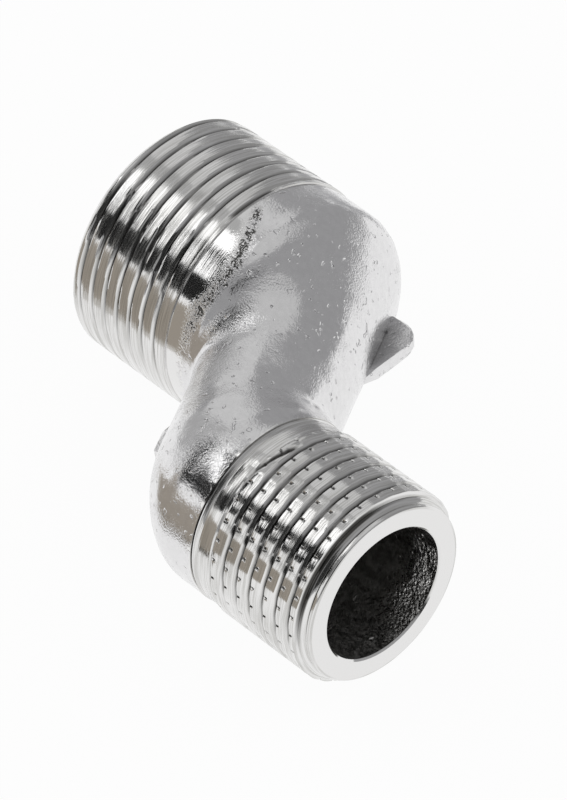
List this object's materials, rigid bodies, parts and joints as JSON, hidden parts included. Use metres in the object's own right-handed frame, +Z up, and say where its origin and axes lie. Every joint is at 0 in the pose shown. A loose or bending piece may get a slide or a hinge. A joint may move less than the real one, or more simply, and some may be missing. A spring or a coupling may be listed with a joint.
{
  "type": "eccentric fitting",
  "caption": "S-shaped chrome-plated brass connector with parallel, offset male pipe threads of different size at its ends, a water passage through it and a small lug on its side.",
  "frame": {"origin": "on the ground under the middle of the part as it lies on its threads", "axes": "+X along both pipe axes, from the three-quarter-inch end to the half-inch end; +Y from the half-inch axis towards the three-quarter-inch axis; +Z up"},
  "size_m": [0.0512, 0.042, 0.0262],
  "materials": {
    "chromed_brass": "bright chrome on the turned threads, satin cast skin on the S-shaped body"
  },
  "bodies": {
    "root": {"eccentric_body": "chromed_brass"}
  },
  "joints": []
}
